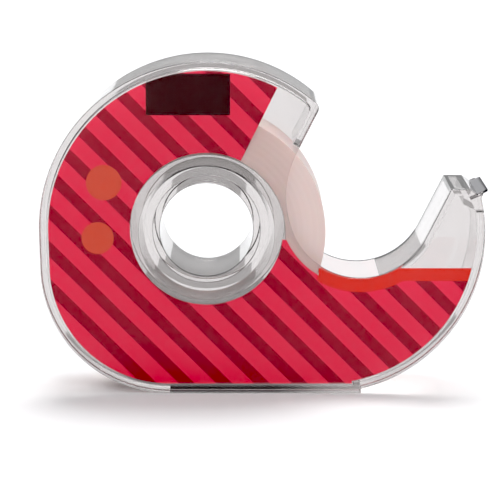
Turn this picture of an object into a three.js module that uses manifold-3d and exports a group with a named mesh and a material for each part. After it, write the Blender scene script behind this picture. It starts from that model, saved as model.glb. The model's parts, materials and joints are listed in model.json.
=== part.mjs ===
// Hand-held snail-shaped tape dispenser: two clear shells pressed together round one roll of tape.
// Millimetres, +Z up. The dispenser stands on its flat base at z = 0, the side with the label faces -Y,
// the arm with the cutter is on the +X side. Side outlines are drawn in X and Z and extruded along Y.

import * as THREE from 'three';
import { mergeVertices } from 'three/addons/utils/BufferGeometryUtils.js';
import Module from 'manifold-3d';

// ---------------------------------------------------------------- driving dimensions

// tape and core
const tapeWidth = 19;            // width of the tape, along Y
const rollRadius = 22.2;         // outside of the wound tape
const coreWall = 2.0;
const coreHang = 1.0;            // core's bore past the hub sleeve, all round if centred; bore 25.4 mm

// shells
const overallLength = 83.6;      // along X, over the belly and the cutter tip
const bellyRadius = 31.2;        // outside of the round belly
const hubHeight = 31.0;          // hub axis above the base
const plateThickness = 1.1;      // flat side walls
const wallThickness = 1.3;       // perimeter wall
const coverRimDepth = 5.0;       // depth of the front cover, plate and rim together

// lower corners
const heelRadius = 24;           // under the belly
const heelInset = 0.2;           // how far the heel curve stays inside the belly
const toeRadius = 30;            // under the arm
const toeInset = 0.5;            // how far the toe curve stays inside the cutter tip
const footPastToe = 7.0;         // flat foot, how far it runs under the toe curve

// mouth, arm and landing
const mouthRadius = 13.5;        // finger gap between the belly and the arm
const throatRadius = 17.8;       // gentler curve where the gap passes the hub
const throatTurn = 25;           // degrees, where the two curves of the gap meet
const mouthReach = 28.7;         // centre of the finger gap, in front of the hub axis
const mouthRise = 4.3;           // and above it
const beakLean = 63;             // degrees from level, beak's straight end
const landingRise = 7.5;         // top of the landing above the hub axis
const landingEnd = 3.4;          // outer end of the landing, back from the cutting edge
const landingLength = 3.518;     // flat of the landing, from the outer end to the arm's inner side
const tipDrop = 0.1;             // cutting edge below the landing
const tipReach = 0.9;            // cutting edge beyond the shells' side
const valleyReach = 1.9;         // dip between landing and cutting edge, back from that edge
const neckDrop = 1.7;            // the shells' outer side ends this far below the landing
const guideEndAngle = -75;       // degrees round the finger gap, where the tape guide wall starts
const guideOverlap = 4;          // degrees that its cutting region starts before that
const beakRound = 1.2;           // rounding of the beak's outer corner

// hub
const hubBoreRadius = 8.7;       // finger hole through the hub
const hubTubeWall = 1.3;         // front cover's tube
const hubSleeveWall = 1.55;      // rear body's sleeve round that tube

// label
const labelThickness = 0.25;
const labelMargin = 1.7;         // clear rim round the print
const labelHoleMargin = 2.6;     // print's hole past the hub sleeve
const labelArmDrop = 11.7;       // top of the print in the arm, below the finger gap's centre
const labelOpenFrom = -8;        // degrees round the hub, between these the label is cut away
const labelOpenTo = 63.5;
const labelArmMargin = 0.3;      // clear rim where the print runs out to the finger gap
const labelArmStart = 7.8;       // where it begins to do so, before the finger gap's centre

// cutter
const bladeThickness = 0.4;
const bladeDepth = 3.6;          // from its rear edge to the tooth tips
const bladeLean = 24;            // degrees that the blade rises outwards
const toothCount = 19;
const toothDepth = 0.7;

// clearances
const endFloat = 0.25;           // each side of the tape roll
const labelGap = 0.1;            // each side of the label
const seamGap = 0.15;            // between the rims of the two shells
const hubFitGap = 0.15;          // tube in sleeve, all round, and at its end
const coreRestGap = 0.2;         // top of the sleeve to the core that hangs on it
const bladeGap = 0.12;           // blade in its slot
const windingGap = 0.05;         // core to the wound tape, all round
const rollGap = 1.1;             // roll to the ends of the perimeter wall

const curveSegments = 32;
const cutOver = 1;               // how far a cutting tool stands past what it cuts
const farAway = 200;             // past every edge of the dispenser
const weldDistance = 1e-4;       // corners closer than this are one corner
const guideSetback = seamGap / 4;       // guide wall region, past the wall's inner face
const coverSetback = guideSetback + seamGap;

// degrees
const quarterTurn = 90;
const halfTurn = 180;
const fullTurn = 360;
const straightDown = 270;

// looks
const shellLook = { color: 0xeaeeee, roughness: 0.08, metalness: 0 };
const labelLook = { color: 0xe0294c, roughness: 0.45, metalness: 0 };
const bladeLook = { color: 0xa8a8ac, roughness: 0.3, metalness: 1 };
const coreLook = { color: 0xdadfe2, roughness: 0.1, metalness: 0 };
const tapeLook = { color: 0xd8c4bf, roughness: 0.35, metalness: 0 };

// ---------------------------------------------------------------- sizes that follow

const radians = THREE.MathUtils.degToRad;
const labelRoom = labelGap + labelThickness + labelGap;
const depth = 2 * plateThickness + labelRoom + 2 * endFloat + tapeWidth;
const frontFace = -depth / 2;
const rearFace = depth / 2;
const frontInside = frontFace + plateThickness;
const rearInside = rearFace - plateThickness;
const labelBack = frontInside + labelGap + labelThickness;
const wallFront = labelBack + labelGap;
const rollFront = wallFront + endFloat;
const rollBack = rollFront + tapeWidth;
const coverRimBack = frontFace + coverRimDepth;

const leftEnd = -overallLength / 2;
const rightEnd = overallLength / 2;
const hub = new THREE.Vector2(leftEnd + bellyRadius, hubHeight);
const heel = new THREE.Vector2(leftEnd + heelInset + heelRadius, heelRadius);
const toe = new THREE.Vector2(rightEnd - toeInset - toeRadius, toeRadius);
const mouth = new THREE.Vector2(hub.x + mouthReach, hub.y + mouthRise);
const throat = pointAt(mouth, throatRadius - mouthRadius, throatTurn);
const landingHeight = hub.y + landingRise;
const labelArmHeight = mouth.y - labelArmDrop;

const tubeOuterRadius = hubBoreRadius + hubTubeWall;
const sleeveInnerRadius = tubeOuterRadius + hubFitGap;
const sleeveOuterRadius = sleeveInnerRadius + hubSleeveWall;
const coreBoreRadius = sleeveOuterRadius + coreHang;
const coreOuterRadius = coreBoreRadius + coreWall;
const rollAxis = new THREE.Vector2(hub.x, hub.y - coreHang + coreRestGap);
const labelHoleRadius = sleeveOuterRadius + labelHoleMargin;

const tip = new THREE.Vector2(rightEnd, landingHeight - tipDrop);
const bladeAlong = new THREE.Vector2(Math.cos(radians(bladeLean)), Math.sin(radians(bladeLean)));

// ---------------------------------------------------------------- outlines in X and Z

function pointAt(centre, radius, degrees) {
  const angle = radians(degrees);
  return new THREE.Vector2(centre.x + radius * Math.cos(angle), centre.y + radius * Math.sin(angle));
}

// How far along the ray from start, in direction, the far crossing with a circle is.
function reachCircle(start, direction, centre, radius) {
  const from = start.clone().sub(centre);
  const along = from.dot(direction);
  return -along + Math.sqrt(along * along - from.lengthSq() + radius * radius);
}

// Outward direction, in degrees, of the belt line that runs from one circle to the next, anticlockwise.
function beltAngle(first, firstRadius, next, nextRadius) {
  const step = next.clone().sub(first);
  const spread = Math.acos((firstRadius - nextRadius) / step.length());
  return THREE.MathUtils.radToDeg(Math.atan2(step.y, step.x) - spread) + fullTurn;
}

function arcTo(shape, centre, radius, fromDegrees, toDegrees) {
  shape.absarc(centre.x, centre.y, radius, radians(fromDegrees), radians(toDegrees), toDegrees < fromDegrees);
}

// The arm's inner side is the line from the landing's inner corner that just touches the finger gap's curve.
const landingCorner = new THREE.Vector2(tip.x - landingEnd - landingLength, landingHeight);
const toCorner = landingCorner.clone().sub(mouth);
const armTurn = Math.atan2(toCorner.y, toCorner.x) - Math.acos(mouthRadius / toCorner.length());
const armSide = THREE.MathUtils.radToDeg(armTurn);
const armAlong = pointAt(new THREE.Vector2(), 1, armSide + quarterTurn);
const beakAlong = pointAt(new THREE.Vector2(), 1, beakLean);
const beakSide = beakLean + quarterTurn;      // from the throat's centre towards the beak's straight end
const blendSide = halfTurn + throatTurn;   // and towards where its two curves meet

function toePointAtHeight(height, inset) {
  const rise = height - toe.y;
  return new THREE.Vector2(toe.x + Math.sqrt((toeRadius - inset) ** 2 - rise ** 2), height);
}

function armPointAtHeight(height, inset) {
  const start = pointAt(mouth, mouthRadius + inset, armSide);
  return start.addScaledVector(armAlong, (height - start.y) / armAlong.y);
}

// The arm's end from the outer side round to the inner side.
const bladeBack = tip.clone().addScaledVector(bladeAlong, -bladeDepth);
const headOutline = [
  toePointAtHeight(landingHeight - neckDrop, 0),
  tip.clone().addScaledVector(bladeAlong, -tipReach / bladeAlong.x),
  tip.clone().addScaledVector(bladeAlong, -valleyReach / bladeAlong.x),
  new THREE.Vector2(tip.x - landingEnd, landingHeight),
  armPointAtHeight(landingHeight, 0),
];

// The hollow inside the arm's end leaves material round the blade's slot.
function headHollow(inset) {
  const ceiling = landingHeight - inset;
  const slotSide = bladeBack.x - inset;
  return [
    toePointAtHeight(bladeBack.y - 2 * inset, inset),
    new THREE.Vector2(slotSide, bladeBack.y - inset),
    new THREE.Vector2(slotSide, ceiling),
    armPointAtHeight(ceiling, inset),
  ];
}

// Side outline of the dispenser, moved inwards by inset.
function sideOutline(inset, head) {
  const shape = new THREE.Shape();
  const belly = bellyRadius - inset;
  const foot = footPastToe - inset;
  const footDrop = Math.sqrt((toeRadius - inset) ** 2 - foot ** 2);
  const toeStart = THREE.MathUtils.radToDeg(Math.atan2(-footDrop, foot));
  const toeEnd = THREE.MathUtils.radToDeg(Math.atan2(head[0].y - toe.y, head[0].x - toe.x));
  shape.moveTo(heel.x, inset);
  shape.lineTo(toe.x + foot, inset);
  arcTo(shape, toe, toeRadius - inset, toeStart, toeEnd);
  head.slice(1).forEach((point) => shape.lineTo(point.x, point.y));
  arcTo(shape, mouth, mouthRadius + inset, armSide, blendSide - fullTurn);
  arcTo(shape, throat, throatRadius + inset, blendSide, beakSide);
  const beakStart = pointAt(throat, throatRadius + inset, beakSide);
  const beakReach = reachCircle(beakStart, beakAlong, hub, belly);
  const corner = beakStart.clone().addScaledVector(beakAlong, beakReach);
  const beforeCorner = beakStart.clone().addScaledVector(beakAlong, beakReach - beakRound);
  const cornerAngle = THREE.MathUtils.radToDeg(Math.atan2(corner.y - hub.y, corner.x - hub.x));
  const afterCorner = cornerAngle + THREE.MathUtils.radToDeg(beakRound / belly);
  const bellyStart = pointAt(hub, belly, afterCorner);
  shape.lineTo(beforeCorner.x, beforeCorner.y);
  shape.quadraticCurveTo(corner.x, corner.y, bellyStart.x, bellyStart.y);
  const heelStart = beltAngle(hub, belly, heel, heelRadius - inset);
  arcTo(shape, hub, belly, afterCorner, heelStart);
  arcTo(shape, heel, heelRadius - inset, heelStart, straightDown);
  return shape;
}

// Stretch of the finger gap's edge that has no wall, so that a finger reaches the roll.
function openMouth() {
  const inner = wallThickness + cutOver / 2;
  const wallFace = pointAt(throat, throatRadius + wallThickness, beakSide);
  const wallEnd = reachCircle(wallFace, beakAlong, rollAxis, rollRadius + rollGap);
  const materialSide = pointAt(throat, throatRadius + inner, beakSide).addScaledVector(beakAlong, wallEnd);
  const gapSide = pointAt(throat, throatRadius - cutOver, beakSide).addScaledVector(beakAlong, wallEnd);
  const start = pointAt(mouth, mouthRadius + inner, guideEndAngle);
  const shape = new THREE.Shape();
  shape.moveTo(start.x, start.y);
  arcTo(shape, mouth, mouthRadius + inner, guideEndAngle, blendSide - fullTurn);
  arcTo(shape, throat, throatRadius + inner, blendSide, beakSide);
  shape.lineTo(materialSide.x, materialSide.y);
  shape.lineTo(gapSide.x, gapSide.y);
  arcTo(shape, throat, throatRadius - cutOver, beakSide, blendSide);
  arcTo(shape, mouth, mouthRadius - cutOver, blendSide - fullTurn, guideEndAngle);
  return shape;
}

// Region of the tape guide wall and the arm's end, which the rear body fills over its full depth.
function guideRegion(grow) {
  const inset = wallThickness + grow;
  const headBase = bladeBack.y - 2 * wallThickness - grow;
  const startAngle = guideEndAngle - guideOverlap;
  const start = pointAt(mouth, mouthRadius - cutOver, startAngle);
  const shape = new THREE.Shape();
  shape.moveTo(start.x, start.y);
  const innerStart = pointAt(mouth, mouthRadius + inset, startAngle);
  shape.lineTo(innerStart.x, innerStart.y);
  arcTo(shape, mouth, mouthRadius + inset, startAngle, armSide);
  const shoulder = armPointAtHeight(headBase, inset);
  shape.lineTo(shoulder.x, shoulder.y);
  shape.lineTo(rightEnd + cutOver, headBase);
  shape.lineTo(rightEnd + cutOver, landingHeight + cutOver);
  const top = armPointAtHeight(landingHeight + cutOver, -cutOver);
  shape.lineTo(top.x, top.y);
  arcTo(shape, mouth, mouthRadius - cutOver, armSide, startAngle);
  return shape;
}

function circle(centre, radius) {
  return new THREE.Shape().absarc(centre.x, centre.y, radius, 0, 2 * Math.PI, false);
}

function polygon(points) {
  return new THREE.Shape(points);
}

// ---------------------------------------------------------------- solids

const wasm = await Module();
wasm.setup();

function toSolid(geometry) {
  geometry.deleteAttribute('normal');
  geometry.deleteAttribute('uv');
  const merged = mergeVertices(geometry, weldDistance);
  return new wasm.Manifold(new wasm.Mesh({
    numProp: 3,
    vertProperties: new Float32Array(merged.attributes.position.array),
    triVerts: new Uint32Array(merged.index.array),
  }));
}

// A shape in X and Z becomes a solid between two places along Y.
function prism(shape, fromY, toY) {
  const geometry = new THREE.ExtrudeGeometry(shape, {
    depth: toY - fromY, bevelEnabled: false, curveSegments,
  });
  geometry.rotateX(Math.PI / 2);
  geometry.translate(0, toY, 0);
  return toSolid(geometry);
}

function tube(centre, outerRadius, innerRadius, fromY, toY) {
  const bore = prism(circle(centre, innerRadius), fromY - cutOver, toY + cutOver);
  return prism(circle(centre, outerRadius), fromY, toY).subtract(bore);
}

function mesh(name, solid, look) {
  const data = solid.getMesh();
  const geometry = new THREE.BufferGeometry();
  geometry.setAttribute('position', new THREE.BufferAttribute(data.vertProperties, 3));
  geometry.setIndex(new THREE.BufferAttribute(data.triVerts, 1));
  geometry.computeVertexNormals();
  const piece = new THREE.Mesh(geometry, new THREE.MeshStandardMaterial(look));
  piece.name = name;
  return piece;
}

// Perimeter wall between two places along Y, without the open stretch of the finger gap.
function perimeterWall(fromY, toY) {
  const hollow = sideOutline(wallThickness, headHollow(wallThickness));
  return prism(sideOutline(0, headOutline), fromY, toY)
    .subtract(prism(hollow, fromY - cutOver, toY + cutOver))
    .subtract(prism(openMouth(), fromY - cutOver, toY + cutOver));
}

function sidePlate(fromY, toY) {
  return prism(sideOutline(0, headOutline), fromY, toY)
    .subtract(prism(circle(hub, hubBoreRadius), fromY - cutOver, toY + cutOver));
}

// The blade's cross section, grown all round for its slot.
function bladeSection(grow) {
  const down = new THREE.Vector2(bladeAlong.y, -bladeAlong.x);
  const corner = (reach, drop) => tip.clone().addScaledVector(bladeAlong, reach).addScaledVector(down, drop);
  const under = bladeThickness * bladeAlong.y / bladeAlong.x;
  return polygon([
    corner(-bladeDepth - grow, -grow),
    corner(-bladeDepth - grow, bladeThickness + grow),
    corner(grow - under, bladeThickness + grow),
    corner(grow, -grow),
  ]);
}

function frontCover() {
  const overlap = plateThickness / 2;
  const rim = perimeterWall(frontInside - overlap, coverRimBack)
    .subtract(prism(guideRegion(coverSetback), frontInside, coverRimBack + cutOver));
  const hubTube = tube(hub, tubeOuterRadius, hubBoreRadius, frontInside - overlap, rearInside - hubFitGap);
  return sidePlate(frontFace, frontInside).add(rim).add(hubTube);
}

function rearBody() {
  const overlap = plateThickness / 2;
  const deepWall = perimeterWall(coverRimBack + seamGap, rearInside + overlap);
  const guideWall = perimeterWall(wallFront, rearInside + overlap)
    .intersect(prism(guideRegion(guideSetback), wallFront - cutOver, rearFace));
  const sleeve = tube(hub, sleeveOuterRadius, sleeveInnerRadius, wallFront, rearInside + overlap);
  const slot = prism(bladeSection(bladeGap), rollFront - bladeGap, rollBack + bladeGap);
  return sidePlate(rearInside, rearFace).add(deepWall).add(guideWall).add(sleeve).subtract(slot);
}

// Printed insert: follows the cover's outline, open round the hub and beside the roll.
function frontLabel() {
  const from = frontInside + labelGap;
  const layer = (shape) => prism(shape, from, labelBack);
  const tool = (shape) => prism(shape, from - cutOver, labelBack + cutOver);
  const hollow = headHollow(wallThickness);
  const armFloor = polygon([
    new THREE.Vector2(mouth.x - labelArmStart, 0),
    new THREE.Vector2(farAway, 0),
    new THREE.Vector2(farAway, labelArmHeight),
    new THREE.Vector2(mouth.x - labelArmStart, labelArmHeight),
  ]);
  const aboveArm = polygon([
    new THREE.Vector2(mouth.x - labelArmStart, labelArmHeight),
    new THREE.Vector2(farAway, labelArmHeight),
    new THREE.Vector2(farAway, farAway),
    new THREE.Vector2(mouth.x - labelArmStart, farAway),
  ]);
  const besideRoll = polygon([
    hub,
    pointAt(hub, farAway, labelOpenFrom),
    pointAt(hub, farAway, labelOpenTo),
  ]);
  const band = layer(sideOutline(labelArmMargin, hollow)).intersect(tool(armFloor));
  const nearMouth = tool(sideOutline(0, headOutline))
    .subtract(tool(sideOutline(labelMargin, headHollow(labelMargin))))
    .intersect(tool(circle(mouth, mouthRadius + labelMargin + cutOver)));
  return layer(sideOutline(labelMargin, headHollow(labelMargin)))
    .add(band.intersect(nearMouth))
    .subtract(tool(aboveArm))
    .subtract(tool(besideRoll))
    .subtract(tool(circle(hub, labelHoleRadius)));
}

function cutterBlade() {
  const blank = prism(bladeSection(0), rollFront, rollBack);
  const pitch = tapeWidth / toothCount;
  const teeth = new THREE.Shape();
  teeth.moveTo(cutOver, rollFront - cutOver);
  teeth.lineTo(-toothDepth, rollFront);
  for (let tooth = 0; tooth < toothCount; tooth += 1) {
    const start = rollFront + tooth * pitch;
    teeth.lineTo(0, start + pitch / 2);
    teeth.lineTo(-toothDepth, start + pitch);
  }
  teeth.lineTo(cutOver, rollBack + cutOver);
  const notches = new THREE.ExtrudeGeometry(teeth, { depth: 2 * bladeDepth, bevelEnabled: false });
  notches.translate(0, 0, -bladeDepth);
  notches.rotateY(-radians(bladeLean));
  notches.translate(tip.x, 0, tip.y);
  return blank.subtract(toSolid(notches));
}

const tapeCore = () => tube(rollAxis, coreOuterRadius, coreBoreRadius, rollFront, rollBack);
const tapeRoll = () => tube(rollAxis, rollRadius, coreOuterRadius + windingGap, rollFront, rollBack);

// ---------------------------------------------------------------- assembly

const dispenser = new THREE.Group();
dispenser.name = 'tape_dispenser';

const shells = new THREE.Group();
shells.add(mesh('rear_body', rearBody(), shellLook));
shells.add(mesh('front_cover', frontCover(), shellLook));
shells.add(mesh('front_label', frontLabel(), labelLook));
shells.add(mesh('cutter_blade', cutterBlade(), bladeLook));
dispenser.add(shells);

const roll = new THREE.Group();
roll.add(mesh('tape_core', tapeCore(), coreLook));
roll.add(mesh('tape_roll', tapeRoll(), tapeLook));
dispenser.add(roll);

export default dispenser;
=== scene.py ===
import json  # noqa: E402
import math  # noqa: E402

import bmesh  # noqa: E402
import bpy  # noqa: E402
from mathutils import Matrix, Vector  # noqa: E402


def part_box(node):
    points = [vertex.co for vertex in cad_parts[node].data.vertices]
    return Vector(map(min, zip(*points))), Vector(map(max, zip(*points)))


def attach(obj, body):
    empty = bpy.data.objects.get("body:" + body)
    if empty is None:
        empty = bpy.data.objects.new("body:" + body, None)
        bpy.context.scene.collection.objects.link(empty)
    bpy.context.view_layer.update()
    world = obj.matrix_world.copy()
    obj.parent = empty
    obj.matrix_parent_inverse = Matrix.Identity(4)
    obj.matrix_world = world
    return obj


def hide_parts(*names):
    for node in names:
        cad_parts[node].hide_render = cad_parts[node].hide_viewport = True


bl_info = {
    "name": "Hand tape dispenser",
    "version": (1, 0, 0),
    "blender": (4, 5, 0),
    "location": "View3D > Sidebar > Dispenser",
    "description": "Finishes a clear hand-held tape dispenser on its packed frame",
    "category": "Add Mesh",
}

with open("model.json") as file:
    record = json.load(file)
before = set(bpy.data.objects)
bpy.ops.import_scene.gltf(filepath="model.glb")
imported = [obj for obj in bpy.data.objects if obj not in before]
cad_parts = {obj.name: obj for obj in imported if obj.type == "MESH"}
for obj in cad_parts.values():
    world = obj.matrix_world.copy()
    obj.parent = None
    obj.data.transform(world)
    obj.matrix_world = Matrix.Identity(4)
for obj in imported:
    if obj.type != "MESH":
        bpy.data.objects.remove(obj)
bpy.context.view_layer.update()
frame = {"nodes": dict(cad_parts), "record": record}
ROLL_CENTRE = Vector(frame["record"]["behaviour"]["joints"][0]["pos_m"])
ROLL_LOW, ROLL_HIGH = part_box("tape_roll")
CORE_LOW, CORE_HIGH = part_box("tape_core")
LABEL_LOW, LABEL_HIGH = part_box("front_label")
ROLL_RADIUS = (ROLL_HIGH.x - ROLL_LOW.x) / 2
CORE_RADIUS = (CORE_HIGH.x - CORE_LOW.x) / 2
MM = 0.001
CORE_SAG = 0.8 * MM  # the roll hangs this far below the hub's axis
HUB_CENTRE = Vector((ROLL_CENTRE.x, 0.0, ROLL_CENTRE.z + CORE_SAG))

# mesh clean-up and edges
COPY_WELD = 0.002 * MM
LATHE_WELD = 0.001 * MM
BAR_WELD = 0.0005 * MM
COPLANAR_ANGLE = math.radians(0.4)
SHARP_ANGLE = math.radians(28)
ROUNDED_ANGLE = math.radians(32)
EDGE_SEGMENTS = 2
CORE_EDGE_ROUND = 0.2 * MM
LATHE_STEPS = 160
BAR_STEPS = 24

# clear plastics
SHELL_REFRACTION = 1.57
CORE_REFRACTION = 1.49
CORE_TINT_SHARE = 0.93
LAMP_SHARE = 0.95  # of the tint, for lamp light that passes through

# print on the label: places in X and Z
PANEL_LOW = (-21.8 * MM, 52.3 * MM)
PANEL_HIGH = (-6.2 * MM, 60.0 * MM)
DISCS = ((-29.7 * MM, 39.7 * MM, 3.3 * MM), (-30.9 * MM, 29.3 * MM, 3.0 * MM))  # centre, radius
GAP_CENTRE = (18.1 * MM, 35.3 * MM)
BORDER_REACH = 16.2 * MM  # from the finger gap's centre
BORDER_START = 10.1 * MM
BORDER_TOP = 23.6 * MM
LEDGE_LOW = (26.0 * MM, 21.2 * MM)
LEDGE_HIGH = (40.0 * MM, 24.0 * MM)
PANEL_COLOUR = (0.020, 0.012, 0.014)
DISC_COLOUR = (0.80, 0.13, 0.08)
WEAR_COLOUR = (0.95, 0.35, 0.36)
BACK_COLOUR = (0.86, 0.62, 0.62)
BACK_SHARE = 0.55
FILM_SHEEN = 0.12

# rib inside the front cover, along its top
RIB_INNER = 28.5 * MM
RIB_OUTER = 29.85 * MM
RIB_LOW_Y = -9.5 * MM
RIB_HIGH_Y = -6.3 * MM
RIB_START = math.radians(68)
RIB_TURN = math.radians(44)

# tape
CORE_GAP = 0.05 * MM  # between the core and the first turn
FREE_END_LIFT = 0.01 * MM
FREE_END_OUTER = 0.07 * MM
FREE_END_INSET = 0.05 * MM
FREE_END_START = math.radians(62)
FREE_END_TURN = math.radians(40)
DARK_TURN = (0.62, 0.46, 0.43)
PALE_TURN = (0.88, 0.76, 0.73)
SMEARED_TURN = (0.86, 0.70, 0.67)

# stage
FLOOR_HALF = 6.0
FLOOR_CELLS = 8
FLOOR_COLOUR = (0.93, 0.935, 0.945)
CARD_COLOUR = (0.01, 0.01, 0.012)
FRONT_FLAG = ((-0.16, -0.022, -0.01), (0.16, -0.022, 0.075))
SIDE_FLAG = ((0.20, 0.02, 0.0), (0.36, 0.02, 0.20))
ROOM_DIM = (0.07, 0.07, 0.08)
ROOM_PALE = (0.98, 0.98, 0.985)
BLACK_LEVEL = 0.060
WHITE_LEVEL = 0.94

# sockets of the Mix node when it blends colours
MIX_SHARE, MIX_FIRST, MIX_SECOND = 0, 6, 7
MIX_RESULT = 2


# ------------------------------------------------------------------ settings


class DispenserShellSettings(bpy.types.PropertyGroup):
    edge_round: bpy.props.FloatProperty(
        name="Edge rounding",
        description="Radius on the moulded edges of the two shells",
        default=0.14 * MM,
        min=0.0,
        unit="LENGTH",
        precision=5,
    )
    tint: bpy.props.FloatVectorProperty(
        name="Plastic tint",
        description="Colour that light takes on in the clear plastic",
        default=(0.845, 0.828, 0.824),
        subtype="COLOR",
        size=3,
        min=0.0,
        max=1.0,
    )
    ripple: bpy.props.FloatProperty(
        name="Flow ripple",
        description="How much the moulded surface waves",
        default=0.05,
        min=0.0,
        max=1.0,
        subtype="FACTOR",
    )


class DispenserLabelSettings(bpy.types.PropertyGroup):
    ground: bpy.props.FloatVectorProperty(
        name="Ground",
        description="Main colour of the print",
        default=(0.955, 0.060, 0.129),
        subtype="COLOR",
        size=3,
        min=0.0,
        max=1.0,
    )
    stripe: bpy.props.FloatVectorProperty(
        name="Stripe",
        description="Colour of the diagonal stripes",
        default=(0.40, 0.020, 0.050),
        subtype="COLOR",
        size=3,
        min=0.0,
        max=1.0,
    )
    stripe_pitch: bpy.props.FloatProperty(
        name="Stripe pitch",
        description="Distance from one stripe to the next",
        default=5.0 * MM,
        min=0.1 * MM,
        unit="LENGTH",
        precision=4,
    )
    stripe_share: bpy.props.FloatProperty(
        name="Stripe share",
        description="Share of the pitch that the stripe fills",
        default=0.42,
        min=0.0,
        max=1.0,
        subtype="FACTOR",
    )
    border: bpy.props.FloatVectorProperty(
        name="Border",
        description="Colour of the band beside the finger gap",
        default=(0.84, 0.060, 0.045),
        subtype="COLOR",
        size=3,
        min=0.0,
        max=1.0,
    )


class DispenserTapeSettings(bpy.types.PropertyGroup):
    side_steps: bpy.props.IntProperty(
        name="Side steps",
        description="Rings of turns that show on each side of the roll",
        default=34,
        min=2,
        max=80,
    )
    side_wander: bpy.props.FloatProperty(
        name="Side wander",
        description="How far the turns stand in and out sideways",
        default=0.03 * MM,
        min=0.0,
        unit="LENGTH",
        precision=5,
    )
    colour: bpy.props.FloatVectorProperty(
        name="Tape",
        description="Colour of the wound tape",
        default=(0.78, 0.63, 0.60),
        subtype="COLOR",
        size=3,
        min=0.0,
        max=1.0,
    )


class DispenserStageSettings(bpy.types.PropertyGroup):
    camera_place: bpy.props.FloatVectorProperty(
        name="Camera",
        description="Where the camera stands",
        default=(-0.0025, -0.5330, 0.1063),
        subtype="TRANSLATION",
        size=3,
    )
    camera_pitch: bpy.props.FloatProperty(
        name="Pitch",
        description="How far the camera looks down",
        default=math.radians(8.62),
        subtype="ANGLE",
    )
    lens: bpy.props.FloatProperty(
        name="Lens",
        description="Focal length in millimetres on a 36 mm sensor",
        default=204.15,
        min=1.0,
    )
    surroundings: bpy.props.FloatProperty(
        name="Surroundings",
        description="Strength of the soft light from all round",
        default=0.54,
        min=0.0,
    )


# ------------------------------------------------------------------ nodes


def fresh_material(name):
    material = bpy.data.materials.new(name)
    material.use_nodes = True
    tree = material.node_tree
    tree.nodes.clear()
    output = tree.nodes.new("ShaderNodeOutputMaterial")
    return material, tree, output


def add(tree, kind, **values):
    node = tree.nodes.new(kind)
    for name, value in values.items():
        setattr(node, name, value)
    return node


def compute(tree, operation, first, second=None, third=None):
    node = add(tree, "ShaderNodeMath", operation=operation)
    for index, value in enumerate((first, second, third)):
        if value is None:
            continue
        if isinstance(value, (int, float)):
            node.inputs[index].default_value = value
        else:
            tree.links.new(value, node.inputs[index])
    return node.outputs[0]


def blend_colour(tree, share, first, second):
    node = add(tree, "ShaderNodeMix", data_type="RGBA")
    for index, value in ((MIX_SHARE, share), (MIX_FIRST, first), (MIX_SECOND, second)):
        socket = node.inputs[index]
        if isinstance(value, bpy.types.NodeSocket):
            tree.links.new(value, socket)
        elif isinstance(value, (int, float)):
            socket.default_value = value
        else:
            socket.default_value = (*value, 1.0)
    return node.outputs[MIX_RESULT]


def place(tree):
    """Object coordinates as separate X, Y and Z."""
    coordinates = add(tree, "ShaderNodeTexCoord").outputs["Object"]
    split = add(tree, "ShaderNodeSeparateXYZ")
    tree.links.new(coordinates, split.inputs[0])
    return coordinates, split.outputs[0], split.outputs[1], split.outputs[2]


def noise(tree, coordinates, scale, detail=3.0, roughness=0.5):
    node = add(tree, "ShaderNodeTexNoise")
    node.inputs["Scale"].default_value = scale
    node.inputs["Detail"].default_value = detail
    node.inputs["Roughness"].default_value = roughness
    tree.links.new(coordinates, node.inputs["Vector"])
    return node.outputs["Fac"]


def spread(tree, value, low, high):
    node = add(tree, "ShaderNodeMapRange")
    node.inputs["To Min"].default_value = low
    node.inputs["To Max"].default_value = high
    tree.links.new(value, node.inputs["Value"])
    return node.outputs["Result"]


def bumped(tree, height, strength, distance):
    node = add(tree, "ShaderNodeBump")
    node.inputs["Strength"].default_value = strength
    node.inputs["Distance"].default_value = distance
    tree.links.new(height, node.inputs["Height"])
    return node.outputs["Normal"]


# ------------------------------------------------------------------ materials


def clear_plastic(name, tint, ripple, refraction):
    """Clear polished plastic with faint flow ripples and handling marks; lamps shine through it."""
    material, tree, output = fresh_material(name)
    coordinates, _, _, _ = place(tree)
    shader = add(tree, "ShaderNodeBsdfPrincipled")
    shader.inputs["Base Color"].default_value = (*tint, 1.0)
    shader.inputs["Transmission Weight"].default_value = 1.0
    shader.inputs["IOR"].default_value = refraction
    marks = noise(tree, coordinates, 900.0, 6.0, 0.7)
    tree.links.new(spread(tree, marks, 0.0, 0.07), shader.inputs["Roughness"])
    flow = noise(tree, coordinates, 140.0, 2.0)
    tree.links.new(bumped(tree, flow, ripple, 0.2 * MM), shader.inputs["Normal"])
    lamp = add(tree, "ShaderNodeLightPath")
    passing = add(tree, "ShaderNodeBsdfTransparent")
    passing.inputs["Color"].default_value = (*(LAMP_SHARE * share for share in tint), 1.0)
    mix = add(tree, "ShaderNodeMixShader")
    tree.links.new(lamp.outputs["Is Shadow Ray"], mix.inputs[0])
    tree.links.new(shader.outputs[0], mix.inputs[1])
    tree.links.new(passing.outputs[0], mix.inputs[2])
    tree.links.new(mix.outputs[0], output.inputs["Surface"])
    return material


def inside_box(tree, x, z, low, high):
    """1 inside a rectangle in X and Z, else 0."""
    share = compute(tree, "GREATER_THAN", x, low[0])
    share = compute(tree, "MULTIPLY", share, compute(tree, "LESS_THAN", x, high[0]))
    share = compute(tree, "MULTIPLY", share, compute(tree, "GREATER_THAN", z, low[1]))
    return compute(tree, "MULTIPLY", share, compute(tree, "LESS_THAN", z, high[1]))


def distance_from(tree, x, z, centre_x, centre_z):
    """Distance from a line along Y."""
    across = compute(tree, "SUBTRACT", x, centre_x)
    up = compute(tree, "SUBTRACT", z, centre_z)
    across_squared = compute(tree, "MULTIPLY", across, across)
    up_squared = compute(tree, "MULTIPLY", up, up)
    return compute(tree, "SQRT", compute(tree, "ADD", across_squared, up_squared))


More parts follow.
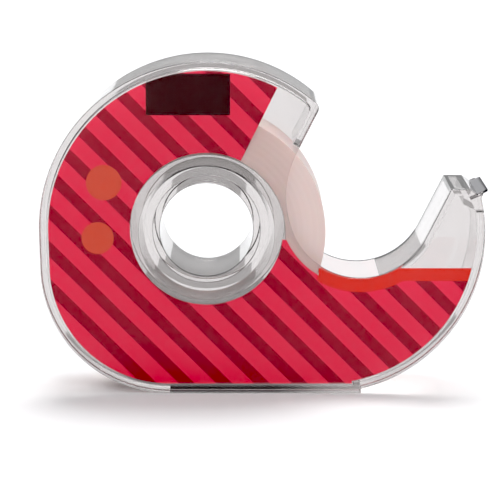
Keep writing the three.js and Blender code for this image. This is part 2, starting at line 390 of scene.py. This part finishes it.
def printed_film(settings):
    """Satin film with diagonal stripes, a blank panel, two blank discs and a border; its back is paler."""
    material, tree, output = fresh_material("printed_film")
    coordinates, x, y, z = place(tree)
    stripes_per_metre = math.sqrt(0.5) / settings.stripe_pitch
    diagonal = compute(tree, "MULTIPLY", compute(tree, "ADD", x, z), stripes_per_metre)
    phase = compute(tree, "FRACT", compute(tree, "ADD", diagonal, 100.0))  # 100 keeps it above zero
    stripe = compute(tree, "LESS_THAN", phase, settings.stripe_share)
    colour = blend_colour(tree, stripe, tuple(settings.ground), tuple(settings.stripe))
    panel = inside_box(tree, x, z, PANEL_LOW, PANEL_HIGH)
    colour = blend_colour(tree, panel, colour, PANEL_COLOUR)
    for centre_x, centre_z, radius in DISCS:
        disc = compute(tree, "LESS_THAN", distance_from(tree, x, z, centre_x, centre_z), radius)
        colour = blend_colour(tree, disc, colour, DISC_COLOUR)
    gap = distance_from(tree, x, z, *GAP_CENTRE)
    band = compute(tree, "LESS_THAN", gap, BORDER_REACH)
    band = compute(tree, "MULTIPLY", band, compute(tree, "GREATER_THAN", x, BORDER_START))
    band = compute(tree, "MULTIPLY", band, compute(tree, "LESS_THAN", z, BORDER_TOP))
    ledge = inside_box(tree, x, z, LEDGE_LOW, LEDGE_HIGH)
    band = compute(tree, "MAXIMUM", band, ledge)
    colour = blend_colour(tree, band, colour, tuple(settings.border))
    middle = (LABEL_LOW.y + LABEL_HIGH.y) / 2
    back = compute(tree, "GREATER_THAN", y, middle)
    paler = blend_colour(tree, BACK_SHARE, colour, BACK_COLOUR)
    colour = blend_colour(tree, back, colour, paler)
    grain = noise(tree, coordinates, 2600.0, 4.0)
    patch = noise(tree, coordinates, 60.0, 2.0)
    colour = blend_colour(tree, spread(tree, patch, 0.0, 0.10), colour, WEAR_COLOUR)
    shader = add(tree, "ShaderNodeBsdfPrincipled")
    tree.links.new(colour, shader.inputs["Base Color"])
    tree.links.new(spread(tree, grain, 0.32, 0.48), shader.inputs["Roughness"])
    tree.links.new(bumped(tree, grain, 0.15, 0.02 * MM), shader.inputs["Normal"])
    shader.inputs["Specular IOR Level"].default_value = FILM_SHEEN
    tree.links.new(shader.outputs[0], output.inputs["Surface"])
    return material


def wound_tape(settings):
    """Sides of tightly wound clear tape: fine rings that differ a little in colour and gloss."""
    material, tree, output = fresh_material("wound_tape")
    coordinates, x, _, z = place(tree)
    radius = distance_from(tree, x, z, ROLL_CENTRE.x, ROLL_CENTRE.z)
    along = add(tree, "ShaderNodeCombineXYZ")
    tree.links.new(radius, along.inputs[0])
    rings = noise(tree, along.outputs[0], 5200.0, 5.0, 0.65)
    broad = noise(tree, along.outputs[0], 700.0, 2.0)
    smear = noise(tree, coordinates, 120.0, 3.0)
    colour = blend_colour(tree, spread(tree, rings, 0.0, 0.40), tuple(settings.colour), DARK_TURN)
    colour = blend_colour(tree, spread(tree, broad, 0.0, 0.20), colour, PALE_TURN)
    colour = blend_colour(tree, spread(tree, smear, 0.0, 0.18), colour, SMEARED_TURN)
    shader = add(tree, "ShaderNodeBsdfPrincipled")
    tree.links.new(colour, shader.inputs["Base Color"])
    tree.links.new(spread(tree, rings, 0.22, 0.42), shader.inputs["Roughness"])
    tree.links.new(bumped(tree, rings, 0.35, 0.03 * MM), shader.inputs["Normal"])
    shader.inputs["Subsurface Weight"].default_value = 0.15
    shader.inputs["Subsurface Scale"].default_value = 1.0 * MM
    tree.links.new(shader.outputs[0], output.inputs["Surface"])
    return material


def stamped_steel():
    """Thin strip steel with fine marks along its length."""
    material, tree, output = fresh_material("stamped_steel")
    coordinates, _, _, _ = place(tree)
    stretch = add(tree, "ShaderNodeMapping")
    stretch.inputs["Scale"].default_value = (9.0, 1.0, 9.0)
    tree.links.new(coordinates, stretch.inputs["Vector"])
    grain = noise(tree, stretch.outputs[0], 900.0, 5.0, 0.7)
    shader = add(tree, "ShaderNodeBsdfPrincipled")
    shader.inputs["Metallic"].default_value = 1.0
    steel = blend_colour(tree, grain, (0.44, 0.44, 0.46), (0.66, 0.66, 0.68))
    tree.links.new(steel, shader.inputs["Base Color"])
    tree.links.new(spread(tree, grain, 0.24, 0.40), shader.inputs["Roughness"])
    tree.links.new(bumped(tree, grain, 0.12, 0.02 * MM), shader.inputs["Normal"])
    tree.links.new(shader.outputs[0], output.inputs["Surface"])
    return material


def black_card():
    """Dull black with no gloss of its own."""
    material, tree, output = fresh_material("black_card")
    shader = add(tree, "ShaderNodeBsdfPrincipled")
    shader.inputs["Base Color"].default_value = (*CARD_COLOUR, 1.0)
    shader.inputs["Roughness"].default_value = 1.0
    shader.inputs["Specular IOR Level"].default_value = 0.0
    tree.links.new(shader.outputs[0], output.inputs["Surface"])
    return material


def pale_floor():
    """Matt pale studio floor."""
    material, tree, output = fresh_material("pale_floor")
    shader = add(tree, "ShaderNodeBsdfPrincipled")
    shader.inputs["Base Color"].default_value = (*FLOOR_COLOUR, 1.0)
    shader.inputs["Roughness"].default_value = 0.85
    shader.inputs["Specular IOR Level"].default_value = 0.1
    tree.links.new(shader.outputs[0], output.inputs["Surface"])
    return material


# ------------------------------------------------------------------ meshes


def show(bm, name, material, body):
    """Makes a mesh into a piece that rides on a body and fills a material slot."""
    mesh = bpy.data.meshes.new(name)
    bm.to_mesh(mesh)
    bm.free()
    for polygon in mesh.polygons:
        polygon.use_smooth = True
    mesh.set_sharp_from_angle(angle=SHARP_ANGLE)
    mesh.materials.append(material)
    piece = bpy.data.objects.new(name, mesh)
    bpy.context.scene.collection.objects.link(piece)
    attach(piece, body)
    return piece


def merged_copy(node):
    """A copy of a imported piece's mesh with its loose triangles joined into clean faces."""
    bm = bmesh.new()
    bm.from_mesh(frame["nodes"][node].data)
    bmesh.ops.remove_doubles(bm, verts=bm.verts, dist=COPY_WELD)
    bmesh.ops.dissolve_limit(bm, angle_limit=COPLANAR_ANGLE, verts=bm.verts, edges=bm.edges)
    return bm


def round_edges(piece, width):
    """Rounds the sharp edges and keeps the flat faces shaded flat."""
    bevel = piece.modifiers.new("edge_round", "BEVEL")
    bevel.width = width
    bevel.segments = EDGE_SEGMENTS
    bevel.limit_method = "ANGLE"
    bevel.angle_limit = ROUNDED_ANGLE
    bevel.use_clamp_overlap = True
    flat = piece.modifiers.new("flat_faces", "WEIGHTED_NORMAL")
    flat.mode = "FACE_AREA"
    flat.weight = 100
    flat.keep_sharp = True


def lathe(profile, centre, cuts, wander):
    """Turns a four-cornered profile round Y; its first and third sides get the wander of the turns."""
    bm = bmesh.new()
    corners = [bm.verts.new(point) for point in profile]
    edges = [bm.edges.new((corners[i], corners[(i + 1) % 4])) for i in range(4)]
    for side, outward in ((edges[0], -1), (edges[2], 1)):
        cut = bmesh.ops.subdivide_edges(bm, edges=[side], cuts=cuts)
        inner = [item for item in cut["geom_inner"] if isinstance(item, bmesh.types.BMVert)]
        for vertex in inner:
            reach = (vertex.co.x - centre.x) / MM
            wave = 0.55 * math.sin(5.3 * reach)
            wave += 0.30 * math.sin(11.9 * reach + 0.7)
            wave += 0.15 * math.sin(2.1 * reach)
            vertex.co.y += outward * wander * (0.5 + 0.5 * wave)
    bmesh.ops.spin(
        bm,
        geom=bm.verts[:] + bm.edges[:],
        cent=centre,
        axis=(0, 1, 0),
        angle=2 * math.pi,
        steps=LATHE_STEPS,
        use_merge=True,
    )
    bmesh.ops.remove_doubles(bm, verts=bm.verts, dist=LATHE_WELD)
    bmesh.ops.recalc_face_normals(bm, faces=bm.faces)
    return bm


def swept_bar(centre, inner, outer, low_y, high_y, start, turn):
    """A bar of rectangular section, bent round a centre on the Y axis, with both its ends closed."""
    bm = bmesh.new()
    along = Vector((math.cos(start), 0.0, math.sin(start)))
    corners = [
        bm.verts.new(centre + along * reach + Vector((0.0, y, 0.0)))
        for reach, y in ((inner, low_y), (outer, low_y), (outer, high_y), (inner, high_y))
    ]
    bm.faces.new(corners)
    bmesh.ops.spin(
        bm,
        geom=bm.verts[:] + bm.edges[:] + bm.faces[:],
        cent=centre,
        axis=(0, -1, 0),
        angle=turn,
        steps=BAR_STEPS,
        use_merge=False,
        use_duplicate=False,
    )
    bmesh.ops.remove_doubles(bm, verts=bm.verts, dist=BAR_WELD)
    bmesh.ops.recalc_face_normals(bm, faces=bm.faces)
    return bm


# ------------------------------------------------------------------ operators


class DISPENSER_OT_shells(bpy.types.Operator):
    """Gives the two clear shells rounded moulded edges and their clear plastic"""

    bl_idname = "dispenser.shells"
    bl_label = "Clear shells"

    def execute(self, context):
        settings = context.scene.dispenser_shell
        tint = tuple(settings.tint)
        plastic = clear_plastic("clear_shell_plastic", tint, settings.ripple, SHELL_REFRACTION)
        for node in ("rear_body", "front_cover"):
            piece = show(merged_copy(node), node + "_finished", plastic, "shell")
            round_edges(piece, settings.edge_round)
            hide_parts(node)
        rib = swept_bar(HUB_CENTRE, RIB_INNER, RIB_OUTER, RIB_LOW_Y, RIB_HIGH_Y, RIB_START, RIB_TURN)
        piece = show(rib, "cover_rib", plastic, "shell")
        round_edges(piece, settings.edge_round)
        return {"FINISHED"}


class DISPENSER_OT_label(bpy.types.Operator):
    """Lays the printed film behind the front cover"""

    bl_idname = "dispenser.label"
    bl_label = "Printed label"

    def execute(self, context):
        film = printed_film(context.scene.dispenser_label)
        piece = show(merged_copy("front_label"), "front_label_finished", film, "shell")
        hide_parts("front_label")
        return {"FINISHED"}


class DISPENSER_OT_blade(bpy.types.Operator):
    """Finishes the toothed steel cutter"""

    bl_idname = "dispenser.blade"
    bl_label = "Cutter"

    def execute(self, context):
        steel = stamped_steel()
        piece = show(merged_copy("cutter_blade"), "cutter_blade_finished", steel, "shell")
        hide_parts("cutter_blade")
        return {"FINISHED"}


class DISPENSER_OT_roll(bpy.types.Operator):
    """Winds the tape on its clear core"""

    bl_idname = "dispenser.roll"
    bl_label = "Tape roll"

    def execute(self, context):
        settings = context.scene.dispenser_tape
        shell = context.scene.dispenser_shell
        inner = ROLL_CENTRE.x + CORE_RADIUS + CORE_GAP
        outer = ROLL_CENTRE.x + ROLL_RADIUS
        centre = Vector((ROLL_CENTRE.x, 0.0, ROLL_CENTRE.z))
        profile = [
            (inner, ROLL_LOW.y, centre.z),
            (outer, ROLL_LOW.y, centre.z),
            (outer, ROLL_HIGH.y, centre.z),
            (inner, ROLL_HIGH.y, centre.z),
        ]
        bm = lathe(profile, centre, settings.side_steps, settings.side_wander)
        roll = show(bm, "tape_roll_finished", wound_tape(settings), "tape")
        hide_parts("tape_roll")
        end = swept_bar(
            centre,
            ROLL_RADIUS + FREE_END_LIFT,
            ROLL_RADIUS + FREE_END_OUTER,
            ROLL_LOW.y + FREE_END_INSET,
            ROLL_HIGH.y - FREE_END_INSET,
            FREE_END_START,
            FREE_END_TURN,
        )
        show(end, "tape_free_end", roll.data.materials[0], "tape")
        core_tint = tuple(CORE_TINT_SHARE * share for share in shell.tint)
        core_plastic = clear_plastic("clear_core_plastic", core_tint, shell.ripple, CORE_REFRACTION)
        core = show(merged_copy("tape_core"), "tape_core_finished", core_plastic, "tape")
        round_edges(core, CORE_EDGE_ROUND)
        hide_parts("tape_core")
        return {"FINISHED"}


class DISPENSER_OT_stage(bpy.types.Operator):
    """Sets out the pale floor, the soft light and the camera"""

    bl_idname = "dispenser.stage"
    bl_label = "Stage"

    def soft_sun(self, name, aim_from, strength, softness, colour):
        """A broad lamp that shines from a direction, its softness in degrees."""
        data = bpy.data.lights.new(name, "SUN")
        data.energy = strength
        data.angle = math.radians(softness)
        data.color = colour
        lamp = bpy.data.objects.new(name, data)
        lamp.rotation_euler = (-Vector(aim_from)).to_track_quat("-Z", "Y").to_euler()
        bpy.context.scene.collection.objects.link(lamp)

    def flag(self, name, low, high):
        """A black card that only shows in reflections, so that clear plastic has dark ones."""
        bm = bmesh.new()
        bmesh.ops.create_grid(bm, x_segments=1, y_segments=1, size=0.5)
        middle = (Vector(low) + Vector(high)) / 2
        span = Vector(high) - Vector(low)
        bmesh.ops.rotate(bm, verts=bm.verts, cent=(0, 0, 0), matrix=Matrix.Rotation(math.pi / 2, 3, "X"))
        bmesh.ops.scale(bm, verts=bm.verts, vec=(span.x, 1.0, span.z))
        bmesh.ops.translate(bm, verts=bm.verts, vec=middle)
        mesh = bpy.data.meshes.new(name)
        bm.to_mesh(mesh)
        bm.free()
        mesh.materials.append(black_card())
        card = bpy.data.objects.new(name, mesh)
        bpy.context.scene.collection.objects.link(card)
        card.visible_camera = False
        card.visible_diffuse = False
        card.visible_transmission = False
        card.visible_shadow = False

    def room(self, strength):
        """Soft light, brighter above and behind; seen directly, the backdrop is plain and pale."""
        world = bpy.data.worlds.new("soft_room")
        world.use_nodes = True
        tree = world.node_tree
        background = tree.nodes["Background"]
        direction = add(tree, "ShaderNodeTexCoord").outputs["Generated"]
        split = add(tree, "ShaderNodeSeparateXYZ")
        tree.links.new(direction, split.inputs[0])
        above = add(tree, "ShaderNodeMapRange", interpolation_type="SMOOTHSTEP")
        above.inputs["From Min"].default_value = 0.30
        above.inputs["From Max"].default_value = 0.85
        tree.links.new(split.outputs[2], above.inputs["Value"])
        behind = add(tree, "ShaderNodeMapRange", interpolation_type="SMOOTHSTEP")
        behind.inputs["From Min"].default_value = 0.25
        behind.inputs["From Max"].default_value = 0.85
        tree.links.new(split.outputs[1], behind.inputs["Value"])
        share = compute(tree, "MAXIMUM", above.outputs["Result"], behind.outputs["Result"])
        seen = add(tree, "ShaderNodeLightPath").outputs["Is Camera Ray"]
        share = compute(tree, "MAXIMUM", share, seen)
        colour = blend_colour(tree, share, ROOM_DIM, ROOM_PALE)
        tree.links.new(colour, background.inputs["Color"])
        level = compute(tree, "MULTIPLY_ADD", seen, 1.0 - strength, strength)
        tree.links.new(level, background.inputs["Strength"])
        bpy.context.scene.world = world

    def execute(self, context):
        settings = context.scene.dispenser_stage
        bm = bmesh.new()
        bmesh.ops.create_grid(bm, x_segments=FLOOR_CELLS, y_segments=FLOOR_CELLS, size=FLOOR_HALF)
        mesh = bpy.data.meshes.new("floor")
        bm.to_mesh(mesh)
        bm.free()
        mesh.materials.append(pale_floor())
        floor = bpy.data.objects.new("floor", mesh)
        context.scene.collection.objects.link(floor)

        self.soft_sun("back_light", (0.06, 0.42, 1.0), 2.0, 30.0, (1.0, 1.0, 1.0))
        self.soft_sun("front_light", (0.20, -1.0, 0.60), 1.25, 35.0, (1.0, 0.995, 0.99))
        self.flag("front_flag", *FRONT_FLAG)
        self.flag("side_flag", *SIDE_FLAG)
        self.room(settings.surroundings)

        data = bpy.data.cameras.new("camera")
        data.sensor_width = 36.0
        data.lens = settings.lens
        data.clip_start = 0.01
        data.clip_end = 50.0
        camera = bpy.data.objects.new("camera", data)
        camera.location = settings.camera_place
        camera.rotation_euler = (math.pi / 2 - settings.camera_pitch, 0.0, 0.0)
        context.scene.collection.objects.link(camera)
        context.scene.camera = camera
        grading = context.scene.view_settings
        grading.view_transform = "Standard"
        grading.use_curve_mapping = True
        grading.curve_mapping.black_level = (BLACK_LEVEL,) * 3
        grading.curve_mapping.white_level = (WHITE_LEVEL,) * 3
        grading.curve_mapping.update()
        return {"FINISHED"}


class DISPENSER_PT_panel(bpy.types.Panel):
    bl_label = "Tape dispenser"
    bl_idname = "DISPENSER_PT_panel"
    bl_space_type = "VIEW_3D"
    bl_region_type = "UI"
    bl_category = "Dispenser"

    def draw(self, context):
        for group in (
            context.scene.dispenser_shell,
            context.scene.dispenser_label,
            context.scene.dispenser_tape,
            context.scene.dispenser_stage,
        ):
            box = self.layout.box()
            for name in group.bl_rna.properties.keys():
                if name not in ("rna_type", "name"):
                    box.prop(group, name)
        for operator in OPERATORS:
            self.layout.operator(operator.bl_idname)


OPERATORS = (
    DISPENSER_OT_shells,
    DISPENSER_OT_label,
    DISPENSER_OT_blade,
    DISPENSER_OT_roll,
    DISPENSER_OT_stage,
)
SETTINGS = (
    DispenserShellSettings,
    DispenserLabelSettings,
    DispenserTapeSettings,
    DispenserStageSettings,
)


def register():
    for item in (*SETTINGS, *OPERATORS, DISPENSER_PT_panel):
        bpy.utils.register_class(item)
    bpy.types.Scene.dispenser_shell = bpy.props.PointerProperty(type=DispenserShellSettings)
    bpy.types.Scene.dispenser_label = bpy.props.PointerProperty(type=DispenserLabelSettings)
    bpy.types.Scene.dispenser_tape = bpy.props.PointerProperty(type=DispenserTapeSettings)
    bpy.types.Scene.dispenser_stage = bpy.props.PointerProperty(type=DispenserStageSettings)


def unregister():
    del bpy.types.Scene.dispenser_stage
    del bpy.types.Scene.dispenser_tape
    del bpy.types.Scene.dispenser_label
    del bpy.types.Scene.dispenser_shell
    for item in reversed((*SETTINGS, *OPERATORS, DISPENSER_PT_panel)):
        bpy.utils.unregister_class(item)


def main():
    register()
    bpy.ops.dispenser.shells()
    bpy.ops.dispenser.label()
    bpy.ops.dispenser.blade()
    bpy.ops.dispenser.roll()
    bpy.ops.dispenser.stage()


if __name__ == "__main__":
    main()
